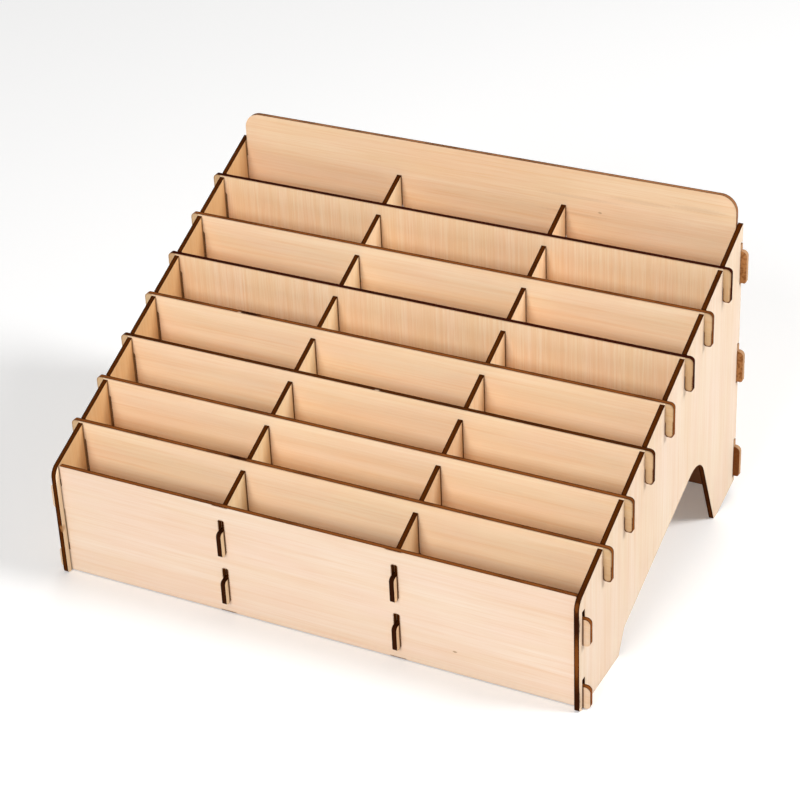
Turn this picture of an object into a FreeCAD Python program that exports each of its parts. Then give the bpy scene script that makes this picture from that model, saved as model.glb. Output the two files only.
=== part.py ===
import FreeCAD, Part
import math
import os

# Slot-together storage rack of thin plywood sheets, all in millimetres.
# X runs along the width, Y from front to back, Z up.
# The origin is on the table, under the middle of the rack.

# Sheet and play
sheet = 3.0                 # plywood thickness
slot_play = 0.15            # gap on each side of a sheet in its slot
front_slot_play = 0.35      # the same for the front panel in the sides
seat_play = 0.1             # gap between an edge and what it rests on
end_play = 0.4              # gap between the end of a panel and a side
floor_play = 0.3            # gap between the cross panels and the floor

# Overall layout
rack_width = 331.0          # across the outer faces of the two sides
columns = 3
rows = 8
first_gap = 24.95           # clear depth of the first row of compartments
row_gap = 26.25             # clear depth of every other row
slope_angle = 24.75         # of the stepped top
front_height = 71.0         # of the side sheets at their front edge
front_lip = 4.3             # side sheets reach past the front panel
panel_foot_gap = 0.5        # front and back panels stay off the table

# Outline of the side sheets and column dividers
brow_radius = 8.0           # upper front corner
toe_radius = 2.0            # lower front corner
front_foot_length = 55.0
foot_rise_height = 14.6     # steep part behind the front foot
foot_rise_run = 8.0
foot_rise_radius = 5.0
arch_angle = 22.0
arch_radius = 17.5
rear_leg_angle = 66.8
rear_foot_length = 35.0
rear_foot_flat = 6.0
heel_rise = 7.5             # the rear foot rises towards the back edge
divider_drop = 5.6          # divider tops below the side tops

# Back panel
back_panel_rise = 16.9      # above the tops of the sides
back_top_radius = 10.0
back_foot_radius = 6.0

# Panel tops, measured at the front face of each panel
front_panel_sink = 0.5      # front panel below the side tops
cross_panel_proud = 1.0     # cross panels above the side tops

# Cross panels
side_lap = 12.0             # cross panel tops to the bottom of the side slots
divider_lap = 33.0          # cross panel tops to the bottom of the divider slots
hook_height = 21.2
hook_reach = 4.9            # past the outer faces of the sides
hook_top_radius = 2.8
hook_foot_radius = 1.5

# Tabs of the front panel through the sides
front_tab_drop = 13.6       # top of the upper tab below the top of the panel
front_tab_height = 17.0
front_tab_lip = 1.0         # hooks over the side, below the slot
front_tab_gap = 4.8         # room above each tab in its slot
front_tab_reach = 4.5
front_tab_top_radius = 3.0
front_tab_foot_radius = 2.5
low_tab_height = 14.0       # lower tab, in a notch that is open to the table

# Tabs of the back panel, in notches that are open to the rear
back_tab_count = 3
back_tab_rise = 12.0        # lowest tab above the table
back_tab_spacing = 66.3
back_tab_height = 20.5
back_tab_shoulder = 4.2     # fills the notch above the outer part of the tab
back_tab_reach = 3.9
back_tab_top_radius = 3.2
back_tab_foot_radius = 1.5
notch_gap = 1.0             # above the tab in its notch
notch_foot_gap = 1.2        # below the tab in its notch

# Tabs of the column dividers through the front and back panels
divider_tab_height = 16.0
divider_tab_lip = 1.0
divider_tab_gap = 6.5
divider_tab_reach = 4.0     # past the front panel
rear_tab_reach = 3.0        # past the back panel
divider_tab_top_radius = 2.5
divider_tab_foot_radius = 1.5
divider_tab_drop = 16.2     # top of the upper front tab below the panel top
divider_tab_rise = 7.1      # lowest front tab above the foot of the panel
rear_tab_rises = (42.0, 132.0)

# Floor under the compartments
floor_rise = 6.6            # top of the floor above the table, at the front panel

# Outlines
meeting = 1e-6              # ends of two edges closer than this already meet

# Places that follow from the sizes above
pitch = row_gap + sheet
side_depth = front_lip + sheet + first_gap + (rows - 1) * pitch + sheet
side_front = -(side_depth + rear_tab_reach) / 2
side_back = side_front + side_depth
front_face = side_front + front_lip
half_width = rack_width / 2
inner_half = half_width - sheet
fitted_half = inner_half - end_play
column_pitch = (2 * inner_half + sheet) / columns
slope = math.tan(math.radians(slope_angle))


def slope_height(y):
    """Height of the side tops at y."""
    return front_height + (y - side_front) * slope


def panel_face(row):
    """Front face of the panel behind a row of compartments; row 0 is the front panel."""
    return side_back - sheet - (rows - row) * pitch if row else front_face


def panel_top(row):
    return slope_height(panel_face(row)) + (cross_panel_proud if row else -front_panel_sink)


def divider_centres():
    return [column_pitch * (i - columns / 2) for i in range(1, columns)]


floor_drop = slope_height(front_face + sheet) - floor_rise


def corner_arc(before, corner, after, radius):
    """The two tangent points and the middle of the arc that rounds a corner."""
    to_before = (before - corner).normalize()
    to_after = (after - corner).normalize()
    half_angle = to_before.getAngle(to_after) / 2
    reach = radius / math.tan(half_angle)
    inward = (to_before + to_after).normalize()
    middle = corner + inward * (radius / math.sin(half_angle) - radius)
    return corner + to_before * reach, middle, corner + to_after * reach


def outline_face(corners, place):
    """Flat face inside corners of (u, v) or (u, v, radius)."""
    points = [place(c[0], c[1]) for c in corners]
    edges = []
    ends = []
    for i, corner in enumerate(corners):
        here = points[i]
        if len(corner) == 3 and corner[2] > 0:
            start, middle, end = corner_arc(points[i - 1], here, points[(i + 1) % len(points)], corner[2])
            edges.append(Part.Arc(start, middle, end).toShape())
            ends.append((start, end))
        else:
            ends.append((here, here))
    for i in range(len(ends)):
        start = ends[i - 1][1]
        end = ends[i][0]
        if (end - start).Length > meeting:
            edges.append(Part.makeLine(start, end))
    return Part.Face(Part.Wire(Part.__sortEdges__(edges)))


def upright_sheet(corners, x):
    """Sheet across X, outlined in Y and Z, with its left face at x."""
    face = outline_face(corners, lambda y, z: FreeCAD.Vector(x, y, z))
    return face.extrude(FreeCAD.Vector(sheet, 0, 0))


def cross_sheet(corners, y):
    """Sheet across Y, outlined in X and Z, with its front face at y."""
    face = outline_face(corners, lambda x, z: FreeCAD.Vector(x, y, z))
    return face.extrude(FreeCAD.Vector(0, sheet, 0))


def block(low, high):
    size = [b - a for a, b in zip(low, high)]
    return Part.makeBox(*size, FreeCAD.Vector(*low))


def cross_slot(x, low, high):
    """Cutter through every sheet across Y, for an upright sheet centred at x."""
    half = sheet / 2 + slot_play
    return block((x - half, side_front, low), (x + half, side_back + sheet, high))


def upright_slot(face_y, low, high, play):
    """Cutter through every sheet across X, for a cross sheet with its face at face_y."""
    return block((-rack_width, face_y - play, low), (rack_width, face_y + sheet + play, high))


def mirrored(shape):
    return shape.mirror(FreeCAD.Vector(0, 0, 0), FreeCAD.Vector(1, 0, 0))


def joined(body, additions, cutters):
    """One clean solid: the sheet with its tabs, less its slots."""
    whole = body.multiFuse(additions) if additions else body
    if cutters:
        whole = whole.cut(cutters)
    return whole.removeSplitter()


def tab_corners(root, step, tip, neck, hook, top_radius, foot_radius):
    """Tab from root to tip; neck and hook are the heights of its two parts."""
    corners = [(root, neck[0]), (step, neck[0])]
    if hook[0] < neck[0]:
        corners.append((step, hook[0]))
    corners.append((tip, hook[0], foot_radius))
    corners.append((tip, hook[1], top_radius))
    if hook[1] < neck[1]:
        corners.append((step, hook[1]))
        corners.append((step, neck[1]))
    corners.append((root, neck[1]))
    return [c for i, c in enumerate(corners) if c[:2] != corners[i - 1][:2]]


def leg_outline(front, back, drop, brow, toe):
    """Outline of a side sheet or a column divider, in Y and Z."""
    foot_end = side_front + front_foot_length
    rise_top = foot_end + foot_rise_run
    rear_toe = side_back - rear_foot_length
    arch_slope = math.tan(math.radians(arch_angle))
    leg_slope = math.tan(math.radians(rear_leg_angle))
    crown = (leg_slope * rear_toe + arch_slope * rise_top - foot_rise_height) / (leg_slope + arch_slope)
    heel_start = rear_toe + rear_foot_flat
    heel = heel_rise * (back - heel_start) / (side_back - heel_start)
    return [
        (front, 0, toe),
        (foot_end, 0),
        (rise_top, foot_rise_height, foot_rise_radius),
        (crown, leg_slope * (rear_toe - crown), arch_radius),
        (rear_toe, 0),
        (heel_start, 0),
        (back, heel),
        (back, slope_height(back) - drop),
        (front, slope_height(front) - drop, brow),
    ]


def front_tab_heights():
    top = panel_top(0) - front_tab_drop
    return top - front_tab_height, top


def back_tab_heights():
    lows = [back_tab_rise + i * back_tab_spacing for i in range(back_tab_count)]
    return [(low, low + back_tab_height) for low in lows]


def divider_tab_heights(at_front):
    if at_front:
        high = panel_top(0) - divider_tab_drop
        lows = [panel_foot_gap + divider_tab_rise, high - divider_tab_height]
    else:
        lows = rear_tab_rises
    return [(low, low + divider_tab_height) for low in lows]


def side_panel():
    """Right side sheet: slots on top, tab slots at the front, notches at the back."""
    sheet_body = upright_sheet(leg_outline(side_front, side_back, 0, brow_radius, toe_radius), inner_half)
    cutters = []
    for row in range(1, rows):
        bottom = panel_top(row) - side_lap - seat_play
        cutters.append(upright_slot(panel_face(row), bottom, panel_top(row) + sheet, slot_play))
    low, high = front_tab_heights()
    cutters.append(upright_slot(front_face, low + front_tab_lip, high + front_tab_gap, front_slot_play))
    low_slot_top = panel_foot_gap + low_tab_height + front_tab_gap
    cutters.append(upright_slot(front_face, -sheet, low_slot_top, front_slot_play))
    back_face = panel_face(rows)
    for low, high in back_tab_heights():
        top = high + back_tab_shoulder + notch_gap
        notch = block((inner_half - sheet, back_face - slot_play, low - notch_foot_gap),
                      (half_width + sheet, side_back + sheet, top))
        cutters.append(notch)
    return joined(sheet_body, [], cutters)


def side_tab(y, neck, hook, reach, top_radius, foot_radius):
    """Tab of a cross sheet that passes through the right side."""
    corners = tab_corners(inner_half - sheet, half_width + slot_play, half_width + reach,
                          neck, hook, top_radius, foot_radius)
    return cross_sheet(corners, y)


def front_panel():
    corners = [
        (-fitted_half, panel_foot_gap),
        (fitted_half, panel_foot_gap),
        (fitted_half, panel_top(0)),
        (-fitted_half, panel_top(0)),
    ]
    low, high = front_tab_heights()
    low_tab = (panel_foot_gap, panel_foot_gap + low_tab_height)
    neck = (low + front_tab_lip + seat_play, high)
    rounding = (front_tab_top_radius, front_tab_foot_radius)
    tabs = [
        side_tab(front_face, neck, (low, high), front_tab_reach, *rounding),
        side_tab(front_face, low_tab, low_tab, front_tab_reach, *rounding),
    ]
    cutters = []
    for x in divider_centres():
        for low, high in divider_tab_heights(True):
            cutters.append(cross_slot(x, low + divider_tab_lip, high + divider_tab_gap))
    return joined(cross_sheet(corners, front_face), tabs + [mirrored(t) for t in tabs], cutters)


def back_panel():
    face = panel_face(rows)
    top = slope_height(side_back) + back_panel_rise
    corners = [
        (-fitted_half, panel_foot_gap, back_foot_radius),
        (fitted_half, panel_foot_gap, back_foot_radius),
        (fitted_half, top, back_top_radius),
        (-fitted_half, top, back_top_radius),
    ]
    tabs = []
    for low, high in back_tab_heights():
        neck = (low, high + back_tab_shoulder)
        tabs.append(side_tab(face, neck, (low, high), back_tab_reach, back_tab_top_radius,
                             back_tab_foot_radius))
    cutters = []
    for x in divider_centres():
        for low, high in divider_tab_heights(False):
            cutters.append(cross_slot(x, low + divider_tab_lip, high + divider_tab_gap))
    return joined(cross_sheet(corners, face), tabs + [mirrored(t) for t in tabs], cutters)


def cross_panel(row):
    """Panel with a hook at each end that hangs over a side."""
    top = panel_top(row)
    foot = slope_height(panel_face(row) + sheet) - floor_drop + floor_play
    hook_in = half_width + slot_play
    hook_out = half_width + hook_reach
    half_outline = [
        (fitted_half, foot),
        (fitted_half, top - side_lap),
        (hook_in, top - side_lap),
        (hook_in, top - hook_height, hook_foot_radius),
        (hook_out, top - hook_height, hook_foot_radius),
        (hook_out, top, hook_top_radius),
    ]
    other_half = [(-c[0],) + c[1:] for c in reversed(half_outline)]
    body = cross_sheet(half_outline + other_half, panel_face(row))
    cutters = [cross_slot(x, foot - sheet, top - divider_lap) for x in divider_centres()]
    return joined(body, [], cutters)


def divider_tabs(at_front):
    wall = front_face if at_front else side_back
    outward = -1 if at_front else 1
    reach = divider_tab_reach if at_front else rear_tab_reach
    tabs = []
    for low, high in divider_tab_heights(at_front):
        neck = (low + divider_tab_lip + seat_play, high)
        corners = tab_corners(wall - outward * 2 * sheet, wall + outward * slot_play,
                              wall + outward * reach, neck, (low, high),
                              divider_tab_top_radius, divider_tab_foot_radius)
        tabs.append(corners)
    return tabs


def floor_ends():
    """Front and back limits of the floor's top face, clear of both panels."""
    tilt = math.radians(slope_angle)
    front = front_face + sheet + seat_play
    back = panel_face(rows) - seat_play - sheet * math.sin(tilt)
    return front, back


def floor_slab(x_low, x_high, from_y, to_y, spare):
    """Slanted slab that follows the floor between two places of its top face."""
    tilt = math.radians(slope_angle)
    length = (to_y - from_y) / math.cos(tilt)
    slab = block((x_low, 0, -sheet - spare), (x_high, length, spare))
    slab.rotate(FreeCAD.Vector(0, 0, 0), FreeCAD.Vector(1, 0, 0), slope_angle)
    slab.translate(FreeCAD.Vector(0, from_y, slope_height(from_y) - floor_drop))
    return slab


def column_divider(x):
    """Divider that takes the cross panels from above and the floor from behind."""
    left = x - sheet / 2
    front = front_face + sheet + seat_play
    back = panel_face(rows) - seat_play
    body = upright_sheet(leg_outline(front, back, divider_drop, 0, 0), left)
    tabs = [upright_sheet(c, left) for c in divider_tabs(True) + divider_tabs(False)]
    cutters = []
    for row in range(1, rows):
        bottom = panel_top(row) - divider_lap - seat_play
        cutters.append(upright_slot(panel_face(row), bottom, panel_top(row) + sheet, slot_play))
    floor_front, floor_back = floor_ends()
    middle = (floor_front + floor_back) / 2
    cutters.append(floor_slab(-rack_width, rack_width, middle - seat_play, back + 3 * sheet, slot_play))
    return joined(body, tabs, cutters)


def sloped_floor():
    """Floor under every compartment, slit at the front for the dividers."""
    front, back = floor_ends()
    middle = (front + back) / 2
    body = floor_slab(-fitted_half, fitted_half, front, back, 0)
    slits = []
    for x in divider_centres():
        half = sheet / 2 + slot_play
        slits.append(floor_slab(x - half, x + half, front - sheet, middle + seat_play, sheet))
    return joined(body, [], slits)


parts = {
    "side_panel_right": side_panel(),
    "side_panel_left": mirrored(side_panel()),
    "front_panel": front_panel(),
    "back_panel": back_panel(),
    "sloped_floor": sloped_floor(),
}
for row in range(1, rows):
    parts["cross_panel_%d" % row] = cross_panel(row)
for i, x in enumerate(divider_centres()):
    name = ("left", "right")[i] if columns == 3 else str(i + 1)
    parts["column_divider_" + name] = column_divider(x)

os.makedirs("parts", exist_ok=True)
for name, shape in parts.items():
    shape.exportStep("parts/" + name + ".step")
    print(name, shape.isValid(), len(shape.Solids), round(shape.Volume, 1))
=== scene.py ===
import math

import bpy
from mathutils import Matrix, Vector


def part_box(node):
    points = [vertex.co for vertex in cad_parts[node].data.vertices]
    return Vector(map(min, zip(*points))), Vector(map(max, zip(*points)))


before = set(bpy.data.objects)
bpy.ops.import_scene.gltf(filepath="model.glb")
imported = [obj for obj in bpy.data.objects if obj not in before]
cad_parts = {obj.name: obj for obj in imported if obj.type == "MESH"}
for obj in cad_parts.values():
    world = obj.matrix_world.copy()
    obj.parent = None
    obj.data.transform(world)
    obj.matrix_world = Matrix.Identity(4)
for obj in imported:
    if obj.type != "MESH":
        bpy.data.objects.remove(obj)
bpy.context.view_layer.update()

# View of the photograph: pixels, millimetres of film, metres and degrees
IMAGE_PIXELS = 800
FOCAL_PIXELS = 2380
SENSOR_WIDTH = 36
EYE = Vector((0.5652, -1.0532, 0.7987))
AIM = Vector((-0.0080, 0.0155, 0.0800))
ROLL = -2.70
FAR_CLIP = 50

# Studio: place and width in metres and watts of each soft light, then the sky and the floor
LIGHTS = {
    "front_light": ((-0.4, -3.8, 2.2), 2.0, 112),
    "right_light": ((1.3, 0.3, 1.3), 0.6, 21),
    "back_light": ((-1.2, 3.2, 3.6), 2.0, 30),
}
SKY = (1.0, 0.99, 0.975, 1)
SKY_STRENGTH = 0.3
PAPER = (0.93, 0.93, 0.93, 1)
PAPER_GLOW = 0.14
FLOOR_REACH = 8.0

# Bare veneers of the sheets, the last two for the inner face of the left side
PALE = (0.805, 0.658, 0.535, 1)
SIDE_PALE = (0.785, 0.66, 0.535, 1)
HONEY = (0.985, 0.785, 0.56, 1)
TAN = (0.925, 0.73, 0.52, 1)
BACK_TAN = (0.915, 0.70, 0.485, 1)
DIVIDER_PALE = (1.0, 0.85, 0.605, 1)
DIVIDER_WARM = (1.0, 0.80, 0.56, 1)
INNER_WARM = (0.79, 0.515, 0.265, 1)
STRIP_PALE = (0.95, 0.77, 0.55, 1)

# What a veneer is multiplied by, where its wood or its cut has another tone
LATE_WOOD = (0.93, 0.82, 0.69, 1)
ROSY = (1.0, 0.965, 0.985, 1)
SMOKED = (0.80, 0.69, 0.57, 1)
SMOKED_HOOK = (0.635, 0.585, 0.50, 1)
PALE_TAB = (0.88, 0.83, 0.74, 1)
# What the dividers' veneers are multiplied by towards the front, making them darker there
DIM_LEFT = (0.90, 0.875, 0.81, 1)
DIM_RIGHT = (0.765, 0.70, 0.63, 1)

# Burnt wood and other marks
BROWN_EDGE = (0.225, 0.066, 0.013, 1)
LIGHT_EDGE = (0.34, 0.145, 0.058, 1)
DARK_EDGE = (0.078, 0.018, 0.001, 1)
BLACK_EDGE = (0.038, 0.004, 0.0005, 1)
# Painted highlight for the cut edges of the back panel's tabs
TAB_EDGE_HIGHLIGHT = (0.62, 0.38, 0.21, 1)
CHAR = (0.020, 0.004, 0.001, 1)
# Seam brown of charred joints, also laid as painted shade in the gaps where tabs and hooks meet the
# sides
SEAM = (0.115, 0.034, 0.007, 1)
SCORCHED = (0.46, 0.215, 0.08, 1)
# Dark brown of scorch specks, also laid as painted shade low on the back panel's inner face
SCORCH_SPECK_AND_SHADE = (0.16, 0.045, 0.010, 1)
STREAK = (0.62, 0.38, 0.22, 1)
KNOT = (0.33, 0.18, 0.09, 1)
CHIP = (0.70, 0.52, 0.36, 1)

# Axes by number, and millimetres in a metre: the finishes are drawn in millimetres
X, Y, Z = 0, 1, 2
MM = 1000.0

# Plywood: its thickness, the depth of its slots, how far smoke spreads from a cut, and how far
# apart on the board the sheets are cut, along the grain and across it
SHEET = 3.0
SLOT_DEPTH = 11.0
SMOKE_REACH = 1.5
ALONG_STEP = 211.0
CROSS_STEP = 97.0

# Share of open air round a point where the smoke and the char beside a cut begin and are full
SMOKE_AIR = (0.97, 0.60)
CHAR_AIR = (0.80, 0.62)

# Charred seams: how far from the sheet beside it each one is gone and is full, and how strong
PANEL_SEAM = (1.8, 1.2)
FRONT_SEAM = (1.1, 0.6)
# The tab seam is a strip of painted shade at the roots of the front panel's tabs, in the gap beside
# the sides
TAB_SEAM = (1.0, 0.5)
SEAM_STRENGTH = 0.9

# Surface: roughness of faces and edges, sheen, and the strength and depth in metres of the grain
FACE_ROUGHNESS = 0.66
EDGE_ROUGHNESS = 0.85
SHEEN = 0.03
RELIEF = 0.35
RELIEF_DEPTH = 0.00005

# Numbers of the Mix node's sockets for colours
MIX_AMOUNT = 0
MIX_FIRST = 6
MIX_SECOND = 7
MIX_RESULT = 2

# Places on the rack that the finishes follow, in millimetres
PANELS = ["cross_panel_%d" % row for row in range(1, 8)]
SIDE_LOW, SIDE_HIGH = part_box("side_panel_right")
SIDE_INNER = SIDE_LOW[X] * MM
SIDE_OUTER = SIDE_HIGH[X] * MM
SIDE_FRONT = SIDE_LOW[Y] * MM
SIDE_BACK = SIDE_HIGH[Y] * MM
DIVIDER_CENTRE = sum(corner[X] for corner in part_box("column_divider_right")) / 2 * MM
FRONT_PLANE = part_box("front_panel")[0][Y] * MM
PANEL_FACES = [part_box(panel)[0][Y] * MM for panel in PANELS]
PANEL_TOPS = [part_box(panel)[1][Z] * MM for panel in PANELS]
PITCH = PANEL_FACES[1] - PANEL_FACES[0]


class Wire:
    """One socket of a material, so that shader maths reads as plain sums."""

    def __init__(self, tree, socket=None):
        self.tree = tree
        self.socket = socket

    def node(self, kind, sockets=None, settings=None, output=0):
        """Adds any node: its settings first, then values or links for its sockets."""
        made = self.tree.nodes.new("ShaderNode" + kind)
        for name, value in (settings or {}).items():
            setattr(made, name, value)
        for name, value in (sockets or {}).items():
            if isinstance(value, Wire):
                self.tree.links.new(value.socket, made.inputs[name])
            else:
                made.inputs[name].default_value = value
        return Wire(self.tree, made.outputs[output])

    def maths(self, operation, *values):
        return self.node("Math", dict(enumerate(values)), {"operation": operation})

    def __add__(self, other):
        return self.maths("ADD", self, other)

    def __radd__(self, other):
        return self.maths("ADD", other, self)

    def __sub__(self, other):
        return self.maths("SUBTRACT", self, other)

    def __rsub__(self, other):
        return self.maths("SUBTRACT", other, self)

    def __mul__(self, other):
        return self.maths("MULTIPLY", self, other)

    def __rmul__(self, other):
        return self.maths("MULTIPLY", other, self)

    def __truediv__(self, other):
        return self.maths("DIVIDE", self, other)

    def __abs__(self):
        return self.maths("ABSOLUTE", self)

    def capped(self):
        """No more than 1."""
        return self.maths("MINIMUM", self, 1.0)

    def ramp(self, low, high):
        """0 at low and 1 at high, smooth between; low may be the larger."""
        if low > high:
            return 1 - self.ramp(high, low)
        sockets = {"Value": self, "From Min": low, "From Max": high}
        return self.node("MapRange", sockets, {"interpolation_type": "SMOOTHSTEP"})

    def mixed(self, amount, first, second, blend="MIX"):
        """Two colours blended by an amount from 0 to 1."""
        sockets = {MIX_AMOUNT: amount, MIX_FIRST: first, MIX_SECOND: second}
        settings = {"data_type": "RGBA", "blend_type": blend}
        return self.node("Mix", sockets, settings, MIX_RESULT)

    def tinted(self, amount, colour, blend="MIX"):
        """This colour with another one laid over it by an amount."""
        return self.mixed(amount, self, colour, blend)

    def between(self, first, second):
        """First colour where this amount is 0 and second where it is 1."""
        return self.mixed(self, first, second)

    def axes(self):
        """The three numbers of a vector."""
        split = self.node("SeparateXYZ", {"Vector": self}).socket.node
        return [Wire(self.tree, socket) for socket in split.outputs]

    def noise(self, place, detail=2.0, roughness=0.5):
        """Noise with features about one unit long, at a place of three numbers."""
        vector = self.node("CombineXYZ", dict(enumerate(place)))
        sockets = {"Vector": vector, "Scale": 1.0, "Detail": detail, "Roughness": roughness}
        return self.node("TexNoise", sockets)


class Sheet:
    """The finish of one laser-cut plywood sheet, with everything measured in millimetres.

    across is the axis through its thickness and grain the one along its fibres, and seed says
    where on the board it is cut. The face veneer and the cut edge each have a colour, which
    marks are laid over one by one.
    """

    def __init__(self, node, across, grain, seed, veneer, burnt=BROWN_EDGE, fleck=0.0):
        self.node = node
        self.seed = seed
        self.material = bpy.data.materials.new(node + "_plywood")
        self.material.use_nodes = True
        self.material.node_tree.nodes.clear()
        self.wire = Wire(self.material.node_tree)
        metres = self.wire.node("TexCoord", output="Object")
        scaled = self.wire.node("VectorMath", {0: metres, "Scale": MM}, {"operation": "SCALE"})
        self.place = scaled.axes()
        self.outward = self.wire.node("TexCoord", output="Normal").axes()[across]
        low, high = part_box(node)
        self.depth = self.place[across] - (low[across] + high[across]) / 2 * MM
        self.along = self.place[grain] + seed * ALONG_STEP
        cross_axis = ({X, Y, Z} - {across, grain}).pop()
        self.cross = self.place[cross_axis] + seed * CROSS_STEP
        settings = {"samples": 8, "inside": True, "only_local": True}
        reach = {"Distance": SMOKE_REACH / MM}
        open_air = self.wire.node("AmbientOcclusion", reach, settings, output="AO")
        self.near_cut = open_air.ramp(*SMOKE_AIR)
        self.at_cut = open_air.ramp(*CHAR_AIR)
        self.peel(veneer, fleck)
        self.burn(burnt)

    def grained(self, length, width, shift=0, **noise):
        """Noise drawn out along the grain."""
        place = (self.along / length, self.cross / width, self.depth * 0.6 + self.seed + shift)
        return self.wire.noise(place, **noise)

    def blotched(self, size, shift=0, **noise):
        """Noise with round blotches."""
        return self.wire.noise([place / size + (self.seed + shift) for place in self.place], **noise)

    def peel(self, veneer, fleck):
        """Peeled face: broad bands, long streaks and short fibres, smoked beside the cuts."""
        broad = self.grained(150, 26).ramp(0.3, 0.7)
        band = self.grained(120, 6, 5, detail=3).ramp(0.3, 0.7)
        streak = self.grained(130, 1.6, 11, detail=3, roughness=0.6)
        fibre = self.grained(28, 0.5, 17, detail=3, roughness=0.6)
        vein = self.grained(90, 2.6, 23).ramp(0.60, 0.72)
        tone = broad * 0.25 + band * 0.28 + streak.ramp(0.35, 0.7) * (0.36 + 0.2 * fleck)
        tone = tone + fibre.ramp(0.4, 0.75) * (0.3 + 0.6 * fleck) + vein * 0.35
        late_wood = tuple(value * share for value, share in zip(veneer, LATE_WOOD))
        blush = self.grained(70, 20, 29).ramp(0.35, 0.65)
        smoke = self.blotched(9, 13) * 0.5
        self.height = streak * 0.6 + fibre * 0.6
        self.veneer = tone.capped().between(veneer, late_wood)
        self.on_veneer(blush * 0.8, ROSY, "MULTIPLY")
        self.on_veneer(self.near_cut * smoke, SMOKED, "MULTIPLY")

    def burn(self, burnt):
        """Cut edge: charred outer layers, browner ones between, and darker stretches along it."""
        from_middle = abs(self.depth) / (SHEET / 2)
        stretch = self.blotched(22, 3).ramp(0.42, 0.62)
        grit = self.blotched(1.1, 7)
        darker = (stretch * 0.4 + (grit - 0.5) * 0.5).ramp(0.0, 1.0)
        self.edge = darker.between(burnt, CHAR).tinted(from_middle.ramp(0.4, 0.85) * 0.8, CHAR)

    def on_veneer(self, amount, colour, blend="MIX"):
        self.veneer = self.veneer.tinted(amount, colour, blend)

    def on_edge(self, amount, colour):
        self.edge = self.edge.tinted(amount, colour)

    def spot(self, centre, radii, colour, strength=1.0):
        """A ragged blot on the veneer and the edge alike, with a radius along each axis."""
        measures = zip(self.place, centre, radii)
        offsets = [(place - middle) / radius for place, middle, radius in measures]
        distance = offsets[X] * offsets[X] + offsets[Y] * offsets[Y] + offsets[Z] * offsets[Z]
        amount = (distance + self.blotched(1.5, 41) * 1.2).ramp(1.7, 0.7) * strength
        self.on_veneer(amount, colour)
        self.on_edge(amount, colour)

    def past_sides(self):
        """Masks the hooks and tabs that stand out of the sides."""
        return abs(self.place[X]).ramp(SIDE_OUTER - 0.1, SIDE_OUTER + 0.1)

    def char_seams(self, where=1.0):
        """Charred strips on an upright, in front of the front panel and each cross panel."""
        behind_front = FRONT_PLANE + SHEET
        rows = self.place[Y].ramp(behind_front - 0.1, behind_front + 0.1)
        to_panel = self.wire.maths("FLOORED_MODULO", PANEL_FACES[0] - self.place[Y], PITCH)
        to_front = FRONT_PLANE - self.place[Y]
        front_seam = to_front.ramp(-0.2, 0.1) * to_front.ramp(*FRONT_SEAM)
        self.on_veneer(to_panel.ramp(*PANEL_SEAM) * rows * SEAM_STRENGTH * where, SEAM)
        self.on_veneer(front_seam * SEAM_STRENGTH * where, SEAM)

    def wear(self):
        """Puts the finish on its sheet, in place of the plain one."""
        face = abs(self.outward).ramp(0.4, 0.6)
        face_roughness = FACE_ROUGHNESS - self.height * 0.12
        relief = {"Strength": RELIEF, "Distance": RELIEF_DEPTH, "Height": self.height}
        shader = self.wire.node("BsdfPrincipled", {
            "Base Color": self.edge.tinted(face, self.veneer),
            "Roughness": face_roughness * face + (1 - face) * EDGE_ROUGHNESS,
            "Normal": self.wire.node("Bump", relief),
            "Specular IOR Level": SHEEN})
        output = self.material.node_tree.nodes.new("ShaderNodeOutputMaterial")
        self.material.node_tree.links.new(shader.socket, output.inputs["Surface"])
        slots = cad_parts[self.node].data.materials
        slots.clear()
        slots.append(self.material)


def finish_left_side():
    """Warmer inside, apart from a pale strip before the front panel, and scorched by its front."""
    sheet = Sheet("side_panel_left", X, Z, 1, SIDE_PALE, burnt=DARK_EDGE)
    inner = sheet.outward.ramp(0.0, 0.2)
    strip = sheet.place[Y].ramp(FRONT_PLANE + 1, FRONT_PLANE - 1)
    streak = sheet.grained(120, 1.6, 11, detail=3).ramp(0.4, 0.65)
    sheet.on_veneer(inner, INNER_WARM)
    sheet.on_veneer(inner * streak * 0.4, LATE_WOOD, "MULTIPLY")
    sheet.on_veneer(inner * strip * 0.85, STRIP_PALE)
    sheet.char_seams(inner * 0.7)
    sheet.spot((-SIDE_INNER, SIDE_FRONT, 31.5), (2, 3.2, 3.0), SCORCHED, 0.6)
    sheet.wear()


def finish_right_side():
    """Its front edge is browner and blacker by stretches, each given by height and reach."""
    sheet = Sheet("side_panel_right", X, Z, 2, SIDE_PALE, burnt=DARK_EDGE)
    sheet.char_seams(sheet.outward.ramp(0.0, -0.2))
    middle = SIDE_OUTER - SHEET / 2
    for height, reach in ((34.5, 15.0), (70.0, 5.0)):
        sheet.spot((middle, SIDE_FRONT, height), (1.5, 2.0, reach), BROWN_EDGE, 0.6)
    for height, reach in ((56.5, 9.0), (8.0, 11.0)):
        sheet.spot((middle, SIDE_FRONT, height), (3, 2.0, reach), CHAR, 0.8)
    sheet.wear()


def finish_divider(side, seed, veneer, dim):
    """Dimmer towards the front, where its tabs' ends are charred black."""
    sheet = Sheet("column_divider_" + side, X, Z, seed, veneer, burnt=DARK_EDGE)
    towards_front = sheet.place[Y].ramp(SIDE_BACK - 40, FRONT_PLANE)
    behind_tabs = sheet.place[Y].ramp(FRONT_PLANE - 1, FRONT_PLANE)
    sheet.on_veneer(towards_front * behind_tabs, dim, "MULTIPLY")
    sheet.char_seams()
    sheet.on_edge(sheet.place[Y].ramp(FRONT_PLANE + 1, FRONT_PLANE - 1) * 0.8, CHAR)
    if side == "right":
        low_tab = (DIVIDER_CENTRE + SHEET / 2, FRONT_PLANE - 3.5, 27)
        sheet.spot(low_tab, (1, 2.5, 4), SCORCH_SPECK_AND_SHADE, 0.8)
    sheet.wear()


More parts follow.
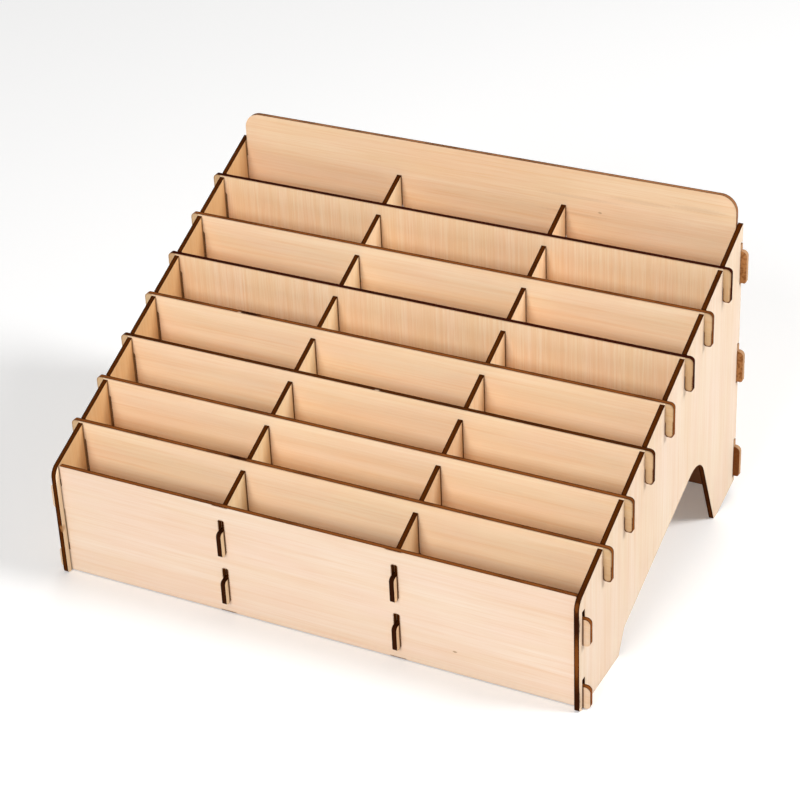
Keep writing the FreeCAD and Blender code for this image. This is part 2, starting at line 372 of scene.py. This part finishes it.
def finish_front_panel():
    """Burnt round the dividers' tabs, with painted shade at the roots of its own where they leave
    the sides, and one small knot.
    """
    sheet = Sheet("front_panel", Y, X, 5, PALE)
    round_holes = abs(abs(sheet.place[X]) - DIVIDER_CENTRE).ramp(6, 4)
    past_side = abs(sheet.place[X]) - SIDE_OUTER
    roots = past_side.ramp(-0.2, 0.0) * past_side.ramp(*TAB_SEAM)
    sheet.on_veneer(sheet.at_cut * round_holes, SEAM)
    sheet.on_veneer(sheet.past_sides(), PALE_TAB, "MULTIPLY")
    # Painted shade of the gap where each tab leaves a side
    sheet.on_veneer(roots * 0.85, SEAM)
    sheet.spot((89.9, FRONT_PLANE, 15.0), (1.6, 1.0, 0.7), KNOT, 0.8)
    sheet.wear()


def finish_back_panel():
    """Scorched brown on its tabs, with painted highlights on their cut edges, painted shade low on
    its inner face, and a knot and streaks near the top.

    The streaks are given by their x, z, half length and half width.
    """
    sheet = Sheet("back_panel", Y, X, 6, BACK_TAN, burnt=LIGHT_EDGE, fleck=0.3)
    inner_face = SIDE_BACK - SHEET
    blister = sheet.blotched(1.8, 19, detail=3).ramp(0.44, 0.62)
    low_inside_shade = sheet.outward.ramp(0.2, -0.2) * sheet.place[Z].ramp(56, 44)
    sheet.on_veneer(sheet.past_sides(), (blister * 0.6).between(SCORCHED, SCORCH_SPECK_AND_SHADE))
    # Painted shade: the inner face is darkened low down, where it lies in shadow
    sheet.on_veneer(low_inside_shade * 0.9, SCORCH_SPECK_AND_SHADE)
    # Painted highlight: the cut edges of the tabs are made lighter
    sheet.on_edge(sheet.past_sides() * 0.6, TAB_EDGE_HIGHLIGHT)
    sheet.spot((77.9, inner_face, 173.4), (1.4, 1.0, 0.8), KNOT, 0.5)
    streaks = ((104, 185, 24, 1.6), (140, 186.5, 20, 2.0), (66, 181, 30, 1.2), (60, 170, 26, 1.0))
    for x, z, length, width in streaks:
        sheet.spot((x, inner_face, z), (length, 1.5, width), STREAK, 0.25)
    sheet.wear()


def finish_cross_panels():
    """Rows 5 and 7 are cut across the board, so their grain stands upright and has more flecks.

    Some top edges have a charred stretch, given by its x, half length and strength, or a chip,
    given by its x and half length.
    """
    edges = {3: DARK_EDGE, 5: BLACK_EDGE, 7: BLACK_EDGE}
    charred = {1: (-59.0, 9, 1.0), 2: (-70.0, 7, 0.45), 4: (-97.5, 9, 1.0)}
    chipped = {3: (2.1, 1.8), 4: (-104.4, 1.4)}
    for row, (face, top) in enumerate(zip(PANEL_FACES, PANEL_TOPS), 1):
        panel = PANELS[row - 1]
        burnt = edges.get(row, BROWN_EDGE)
        if row in (5, 7):
            sheet = Sheet(panel, Y, Z, 10 + row, TAN, burnt, fleck=1.0)
        else:
            sheet = Sheet(panel, Y, X, 10 + row, HONEY, burnt)
        below_slots = sheet.place[Z].ramp(top - SLOT_DEPTH + 1, top - SLOT_DEPTH - 1)
        sheet.on_veneer(sheet.past_sides(), SMOKED_HOOK, "MULTIPLY")
        # Char at the cuts, stronger below the slots, where it is also painted shade of the gaps at
        # the sides
        sheet.on_veneer(sheet.at_cut * (below_slots * 0.6 + 0.4), SEAM)
        if row in charred:
            x, length, strength = charred[row]
            sheet.spot((x, face + SHEET / 2, top), (length, 1.6, 1.0), CHAR, strength)
        if row in chipped:
            x, length = chipped[row]
            sheet.spot((x, face + 0.4, top), (length, 0.8, 0.8), CHIP, 0.8)
        sheet.wear()


def finish_sheets():
    """One finish for each sheet of the rack, since each is cut from another place of the board."""
    finish_left_side()
    finish_right_side()
    finish_divider("left", 3, DIVIDER_PALE, DIM_LEFT)
    finish_divider("right", 4, DIVIDER_WARM, DIM_RIGHT)
    finish_front_panel()
    finish_back_panel()
    Sheet("sloped_floor", Z, X, 7, HONEY).wear()
    finish_cross_panels()


def studio_floor():
    """A wide sheet of pale paper under the rack, which glows a little."""
    mesh = bpy.data.meshes.new("studio_floor")
    near, far = -FLOOR_REACH, FLOOR_REACH
    corners = [(near, near, 0), (far, near, 0), (far, far, 0), (near, far, 0)]
    mesh.from_pydata(corners, [], [(0, 1, 2, 3)])
    floor = bpy.data.objects.new("studio_floor", mesh)
    bpy.context.scene.collection.objects.link(floor)
    material = bpy.data.materials.new("white_paper")
    material.use_nodes = True
    shader = material.node_tree.nodes["Principled BSDF"]
    shader.inputs["Base Color"].default_value = PAPER
    shader.inputs["Roughness"].default_value = 0.9
    shader.inputs["Specular IOR Level"].default_value = 0.1
    shader.inputs["Emission Color"].default_value = (1, 1, 1, 1)
    shader.inputs["Emission Strength"].default_value = PAPER_GLOW
    mesh.materials.append(material)


def soft_light(name, place, width, watts):
    """A round area light that faces the rack."""
    lamp = bpy.data.lights.new(name, "AREA")
    lamp.shape = "DISK"
    lamp.size = width
    lamp.energy = watts
    holder = bpy.data.objects.new(name, lamp)
    bpy.context.scene.collection.objects.link(holder)
    holder.location = place
    holder.rotation_euler = (AIM - Vector(place)).to_track_quat("-Z", "Y").to_euler()


def studio():
    """An even sky and three soft lights, seen with plain tones."""
    world = bpy.data.worlds.new("studio")
    world.use_nodes = True
    sky = world.node_tree.nodes["Background"]
    sky.inputs["Color"].default_value = SKY
    sky.inputs["Strength"].default_value = SKY_STRENGTH
    bpy.context.scene.world = world
    for name, (place, width, watts) in LIGHTS.items():
        soft_light(name, place, width, watts)
    bpy.context.scene.view_settings.view_transform = "Standard"
    bpy.context.scene.view_settings.look = "None"


def camera():
    """The camera at the photograph's place, with its focal length and roll."""
    lens = bpy.data.cameras.new("camera")
    lens.sensor_width = SENSOR_WIDTH
    lens.lens = SENSOR_WIDTH * FOCAL_PIXELS / IMAGE_PIXELS
    lens.clip_end = FAR_CLIP
    holder = bpy.data.objects.new("camera", lens)
    bpy.context.scene.collection.objects.link(holder)
    level = (AIM - EYE).to_track_quat("-Z", "Y").to_matrix()
    turned = level @ Matrix.Rotation(math.radians(ROLL), 3, "Z")
    holder.location = EYE
    holder.rotation_euler = turned.to_euler()
    bpy.context.scene.camera = holder


camera()
studio()
studio_floor()
finish_sheets()
